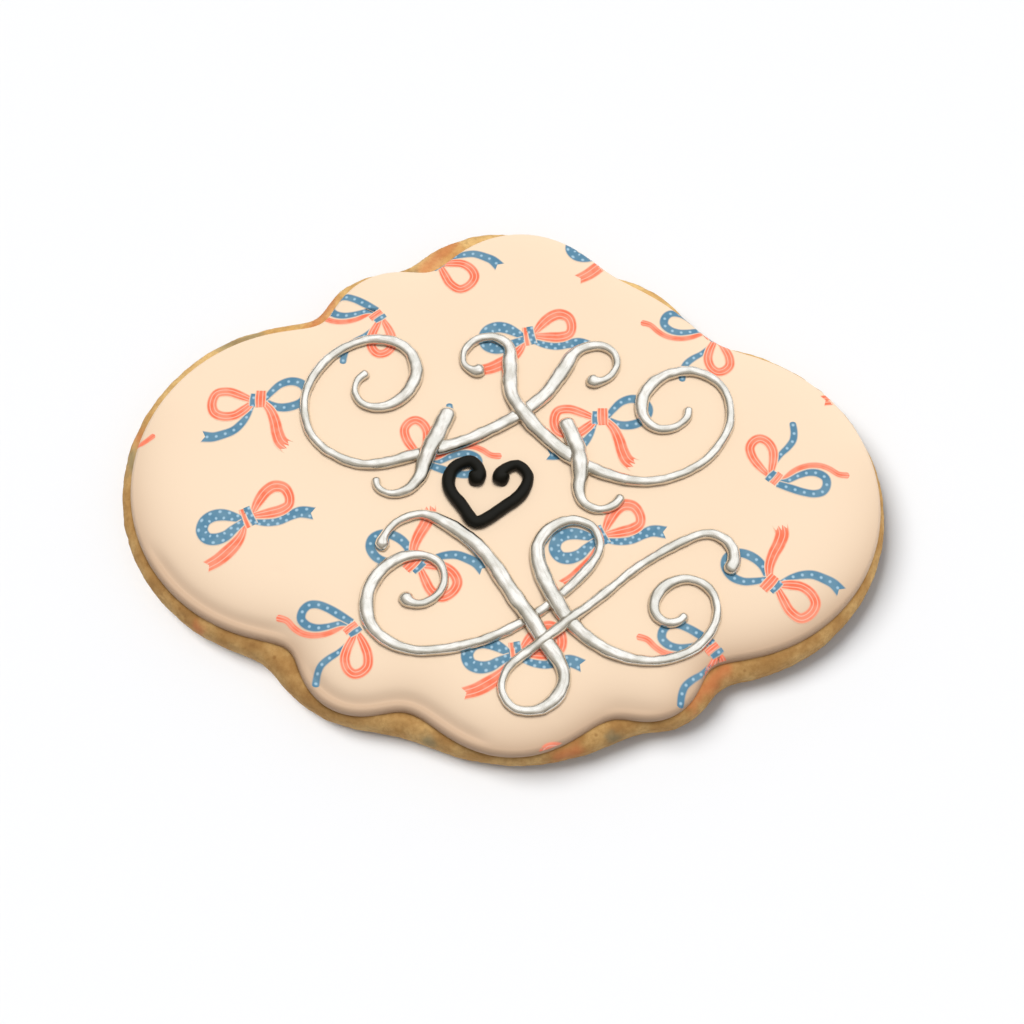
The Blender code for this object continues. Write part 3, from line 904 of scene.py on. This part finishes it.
def settle(mesh, layer):
    # lays a flat body on the icing: its upper face just proud, its lower face just under
    points = np.empty(3 * len(mesh.vertices))
    mesh.vertices.foreach_get("co", points)
    points = points.reshape(-1, 3)
    flat = points[:, :2].copy()
    film = inks["filmHeight"] + inks["filmStep"] * layer
    film = film + 0.01 * np.linspace(0, 1, len(flat))
    lift = np.where(points[:, 2] > 0, film, -0.06)
    points = np.column_stack([flat, icingTop(flat) + lift]) * mm
    mesh.vertices.foreach_set("co", points.ravel())
    # the ribbons carry the same painted rim shade as the icing
    storeNumbers(mesh, "paintedRimShade", paintedRimShade(flat))
    mesh.update()


makePrint()
print("print made")


scroll = {"lean": 0.18, "turn": -2.5}
silver = {
    "halfWidth": 1.0,
    "height": 1.3,
    "square": 2.05,  # exponent of the section: 2 is an ellipse, more is flatter on top
    "thin": 0.55,  # share of the half width on upstrokes and in the tightest curls
    "bold": 1.42,  # and on free downstrokes
    "bulb": 1.1,  # where the tip touched down
    "lastBulb": 0.0,  # share of that where it lifted off
    "dents": 0.05,
    "metal": "#fffcf6",
    "tarnish": "#ebe9e1",
    "worn": "#cfc7ba",
    "shade": "#bbb2a5",
    "shadeSide": (-0.6, -0.8),  # the side of each line where the painted shade is strongest
}
black = {
    "halfWidth": 0.98,
    "height": 1.5,
    "square": 2.1,
    "thin": 0.9,
    "bold": 1.12,
    "bulb": 1.4,
    "lastBulb": 1.0,
    "dents": 0.045,
    "colour": "#0d0c07",
}


def volute(cx, cy, firstRadius, lastRadius, start, turn):
    # spiral about (cx, cy): the radius changes by a constant ratio for each degree
    share = np.linspace(0, 1, max(4, int(abs(turn) // 40)) + 1)
    angle = np.radians(start + turn * share)
    radius = firstRadius * (lastRadius / firstRadius) ** share
    return list(zip(cx + radius * np.cos(angle), cy + radius * np.sin(angle)))


def leaned(points, cx, cy):
    # x shifted by the lean for each unit of y, then turned a little, about (cx, cy)
    x, y = np.array(points, float).T
    x, y = x - cx + scroll["lean"] * (y - cy), y - cy
    angle = math.radians(scroll["turn"])
    c, s = math.cos(angle), math.sin(angle)
    return np.stack([cx + x * c - y * s, cy + x * s + y * c], axis=1)


def upperScroll():
    strokes = (
        [
            *volute(11.8, 18.0, 2.2, 4.9, -120, 310),
            *((4.6, 11.8), (-3.0, 5.2), (-10.2, 1.8), *volute(-20.4, 12.8, 13.6, 2.6, -85, -500)),
        ],
        [(-8.2, 9.6), (-9.0, 4.6), (-9.6, -0.2), *volute(-13.6, -2.0, 4.0, 2.6, 0, -165)],
        [
            *volute(-5.8, 18.4, 2.2, 4.6, -60, -310),
            *((0.6, 11.9), (7.4, 5.6), (14.2, 1.6), *volute(24.8, 12.0, 12.3, 2.4, -95, 470)),
        ],
        [(9.0, 9.2), (12.2, 4.4), (13.8, -0.2), *volute(18.2, -2.0, 4.2, 2.6, 180, 165)],
    )
    return [leaned(points, 2.0, 10.0) for points in strokes]


def lowerScroll():
    strokes = (
        [
            *(*volute(-12.0, -19.6, 2.0, 9.4, -155, 430), (-2.8, -27.8), (5.4, -22.8)),
            *(*volute(8.0, -12.0, 4.5, 4.5, -30, 240), (10.6, -22.8), (17.8, -27.2)),
            *volute(25.5, -19.8, 8.2, 1.9, -95, 430),
        ],
        [
            *(*volute(-15.2, -13.6, 3.6, 5.4, 195, -120), (-5.0, -12.8), (1.6, -19.4)),
            *((7.8, -26.0), *volute(8.0, -32.5, 4.3, 4.3, 20, -220), (8.2, -26.0)),
            *((14.0, -19.5), (20.0, -12.8), *volute(28.6, -12.9, 5.0, 3.3, 105, -125)),
        ],
    )
    return [leaned(points, 6.0, -21.0) for points in strokes]


def heartCurls():
    left = [(-4.8, -2.6), (-4.0, -0.6), (-5.8, 1.1), (-8.1, -0.4), (-7.9, -3.2), (-5.1, -6.2)]
    right = [(0.7, -6.2), (3.0, -3.5), (3.2, -0.6), (1.1, 1.0), (-0.8, -0.5), (0.0, -2.4)]
    return [leaned([*left, (-2.4, -8.6), *right], -3.0, -3.0)]


def pipedWidth(path, run, settings, seed):
    # share of the usual breadth: bold where the hand pulled toward itself along a free line,
    # thin on upstrokes and in tight bends, a bulb where the tip touched down, a slow tremble
    along = np.gradient(path[:, :2], run, axis=0)
    heading = np.unwrap(np.arctan2(along[:, 1], along[:, 0]))
    window = np.hanning(25)
    pull, bend = (
        np.convolve(np.pad(part, 12, mode="edge"), window / window.sum(), mode="valid")
        for part in (np.clip(-np.sin(heading), 0, 1), np.abs(np.gradient(heading, run)))
    )
    free = np.clip(1 - bend / 0.4, 0, 1)
    swell = (0.3 + 0.7 * pull) * (0.3 + 0.7 * free)
    share = settings["thin"] + (settings["bold"] - settings["thin"]) * swell
    room = np.clip(settings["bulb"] - share, 0, None)
    bulb = room * np.exp(-((run - 1.2) ** 2))
    bulb = bulb + settings["lastBulb"] * room * np.exp(-((run[-1] - 1.2 - run) ** 2))
    tremble = 0.06 * latticeNoise(np.column_stack([run, 0 * run, 0 * run]), 2.4, seed)
    return share + bulb + tremble


def crossingLift(flat, run, before, height):
    # how far a line climbs over the lines piped before it, and over its own earlier turns
    lift = np.zeros(len(flat))
    spans = [(earlier, None) for earlier in before] + [(flat, run)]
    for other, otherRun in spans:
        distance = np.linalg.norm(flat[:, None] - other[None], axis=2)
        if otherRun is not None:
            distance = np.where(run[:, None] - otherRun[None] > 5.0, distance, 99.0)
        near = np.clip(1 - distance.min(axis=1) / 3.0, 0, 1)
        lift = np.maximum(lift, 0.5 * height * near**2 * (3 - 2 * near))
    lift *= np.clip(np.minimum(run, run[-1] - run) / 4.0, 0, 1)  # the ends sink into what they meet
    kernel = np.hanning(13)
    return np.convolve(np.pad(lift, 6, mode="edge"), kernel / kernel.sum(), mode="valid")


def roundedEnd(distance, radius):
    # quarter circle: 0 at the tip, 1 from one radius inwards
    return np.sqrt(1 - (1 - np.clip(distance / radius, 0.02, 1)) ** 2)


def pipeLine(points, settings, before, seed):
    # superellipse section, |x / a| ** n + |z / b| ** n = 1, carried square to the path; its
    # lower part is sunk in the icing; the rings crowd together where the ends round off
    path, run = smoothPath(points, 0.3)
    width = settings["halfWidth"] * pipedWidth(path, run, settings, seed)
    first, last = width[3], width[-4]  # each end is as long as it is wide
    cap = 1 - np.cos(np.linspace(0.2, math.pi / 2, 9))
    between = (run > first + 0.1) & (run < run[-1] - last - 0.1)
    rows = np.concatenate([first * cap, run[between], run[-1] - last * cap[::-1]])
    left = sideways(path)
    lift = crossingLift(path, run, before, settings["height"])
    path, left, (width, lift) = (
        np.stack([np.interp(rows, run, column) for column in columns], axis=k)
        for columns, k in ((path.T, 1), (left.T, 1), ((width, lift), 0))
    )
    end = roundedEnd(rows, first) * roundedEnd(run[-1] - rows, last)
    tall = settings["height"] * (0.5 + 0.5 * width / settings["halfWidth"]) * end
    wide = width * end
    angle = np.linspace(-math.pi / 2, 1.5 * math.pi, 26, endpoint=False)
    power = 2 / settings["square"]
    across = -np.sign(np.cos(angle)) * np.abs(np.cos(angle)) ** power
    up = np.sign(np.sin(angle)) * np.abs(np.sin(angle)) ** power
    up = np.where(up > 0, 0.3 + 0.7 * up, 0.3 + 0.45 * up)
    rings = np.empty((len(rows), len(angle), 3))
    rings[..., :2] = path[:, None] + left[:, None] * (across[None] * wide[:, None])[..., None]
    rings[..., 2] = (icingTop(path) + lift)[:, None] + tall[:, None] * up[None]
    dent = settings["dents"] * (latticeNoise(rings, 1.5, seed) + latticeNoise(rings, 0.8, seed + 7))
    rings[..., :2] += left[:, None] * (dent * across[None] * end[:, None])[..., None]
    rings[..., 2] += dent * up[None] * end[:, None]
    around = np.broadcast_to(angle, (len(rows), len(angle))) * settings["halfWidth"]
    along = np.broadcast_to(rows[:, None], around.shape)
    tip = np.broadcast_to(np.exp(-(((run[-1] - rows) / 0.3) ** 2))[:, None], around.shape)
    return rings, path, around, along, tip


def silverMaterial():
    # piped icing brushed with edible silver lustre: bright on top with faint warm and cool
    # clouds, streaked along the stroke, with painted shade on the flanks, most on the left and lower sides,
    # and darker at each line's last end
    made, tree = newMaterial("silver_lustre_brushed")
    place = addNode(tree, "UVMap", uv_map="line")
    around = addNode(tree, "SeparateXYZ", {0: place}, out=0)
    along = addNode(tree, "SeparateXYZ", {0: place}, out=1)
    slow = addNode(tree, "Math", {0: along, 1: 0.16}, operation="MULTIPLY")
    stretched = addNode(tree, "CombineXYZ", {0: around, 1: slow})
    streak = addNode(tree, "TexNoise", {"Vector": stretched, "Scale": 2.6, "Detail": 2.0})
    flankShade = addNode(tree, "Attribute", out=2, attribute_name="flankShade")
    tip = addNode(tree, "SeparateXYZ", {0: addNode(tree, "UVMap", uv_map="tip")}, out=0)
    # share of the shade tone: painted shade on the flanks, and the darker last end of each line
    flankShadeAndTip = addNode(tree, "Math", {0: flankShade, 1: tip}, operation="MAXIMUM")
    worn = addNode(tree, "MapRange", {0: streak, 1: 0.52, 2: 0.72, 3: 0.0, 4: 0.6})
    metal, cool, dull, shade = (linear(silver[tone]) for tone in ("metal", "tarnish", "worn", "shade"))
    spot = addNode(tree, "TexCoord", out=3)
    cloud = addNode(tree, "TexNoise", {"Vector": spot, "Scale": 420.0, "Detail": 2.0})
    cloud = addNode(tree, "MapRange", {0: cloud, 1: 0.4, 2: 0.6})
    colour = addNode(tree, "Mix", {0: cloud, 6: metal, 7: cool}, out=2, data_type="RGBA")
    colour = addNode(tree, "Mix", {0: worn, 6: colour, 7: dull}, out=2, data_type="RGBA")
    colour = addNode(tree, "Mix", {0: flankShadeAndTip, 6: colour, 7: shade}, out=2, data_type="RGBA")
    rough = addNode(tree, "MapRange", {0: streak, 1: 0.3, 2: 0.7, 3: 0.14, 4: 0.3})
    grain = addNode(tree, "TexNoise", {"Vector": spot, "Scale": 1300.0, "Detail": 2.0})
    uneven = addNode(tree, "Math", {0: grain, 1: 0.4, 2: streak}, operation="MULTIPLY_ADD")
    bump = addNode(tree, "Bump", {"Height": uneven, "Strength": 0.2, "Distance": 0.06 * mm})
    finish = {"Base Color": colour, "Metallic": 1.0, "Roughness": rough, "Normal": bump}
    finishMaterial(tree, addNode(tree, "BsdfPrincipled", finish))
    return made


def blackMaterial():
    # royal icing coloured black, piped stiff: dried to a low satin
    made, tree = newMaterial("royal_icing_black")
    spot = addNode(tree, "TexCoord", out=3)
    grain = addNode(tree, "TexNoise", {"Vector": spot, "Scale": 1200.0, "Detail": 3.0})
    bump = addNode(tree, "Bump", {"Height": grain, "Strength": 0.3, "Distance": 0.05 * mm})
    finish = {"Base Color": linear(black["colour"]), "Roughness": 0.45, "Normal": bump}
    finish["Specular IOR Level"] = 0.22
    finishMaterial(tree, addNode(tree, "BsdfPrincipled", finish))
    return made


def pipedBody(name, rings, layers, finish):
    # the rings skinned, each end closed by one face, with its UV layers
    rows, columns = rings.shape[:2]
    faces = [face[::-1] for face in ringFaces(rows, columns).tolist()]
    faces.append(list(range(columns)))
    faces.append(list(range((rows - 1) * columns, rows * columns))[::-1])
    body = addMesh(name, rings.reshape(-1, 3), faces, finish)
    corner = np.empty(len(body.data.loops), int)
    body.data.loops.foreach_get("vertex_index", corner)
    for layer, first, second in layers:
        values = np.stack([first.ravel(), second.ravel()], axis=1)[corner].astype(np.float32)
        body.data.uv_layers.new(name=layer).data.foreach_set("uv", values.ravel())
    return body


def makePiping(name, strokes, settings, finish, node, seed):
    # each line as a closed tube, climbing over the ones before it, then all joined by a union
    bodies, before = [], []
    for number, stroke in enumerate(strokes):
        rings, path, around, along, tip = pipeLine(stroke, settings, before, seed + number)
        layers = (("line", around, along + 40 * number), ("tip", tip, tip))
        bodies.append(pipedBody(f"{name}_{number}", rings, layers, finish))
        before.append(path)
    others = bpy.data.collections.new(name + "_others")
    for body in bodies[1:]:
        others.objects.link(body)
    whole = bodies[0]
    join = whole.modifiers.new("join", "BOOLEAN")
    join.operation = "UNION"
    join.operand_type = "COLLECTION"
    join.collection = others
    join.use_self = True
    bpy.context.view_layer.update()
    mesh = bpy.data.meshes.new_from_object(whole.evaluated_get(bpy.context.evaluated_depsgraph_get()))
    whole.modifiers.clear()
    whole.data = mesh
    whole.name = name
    mesh.name = name
    for body in bodies[1:]:
        bpy.data.objects.remove(body)
    bpy.data.collections.remove(others)
    mesh.shade_smooth()
    normal = np.empty(3 * len(mesh.vertices))
    mesh.vertices.foreach_get("normal", normal)
    normal = normal.reshape(-1, 3)
    # painted shade on the steep flanks, strongest on the left and lower sides
    flankShade = np.clip((0.78 - normal[:, 2]) / 0.55, 0, 1)
    shadeSide = 0.7 + 0.3 * (normal[:, :2] @ np.array(silver["shadeSide"]))
    storeNumbers(mesh, "flankShade", flankShade * flankShade * (3 - 2 * flankShade) * shadeSide)
    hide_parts(node)
    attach(whole, "root")
    print(name, len(mesh.polygons), "faces")


silverFinish = silverMaterial()
silverPieces = (
    ("silver_piping_upper", upperScroll(), "silver_scroll_upper", 40),
    ("silver_piping_lower", lowerScroll(), "silver_scroll_lower", 50),
)
for name, strokes, node, seed in silverPieces:
    makePiping(name, strokes, silver, silverFinish, node, seed)
makePiping("black_piping_heart", heartCurls(), black, blackMaterial(), "black_heart_curls", 60)
print("piping made")
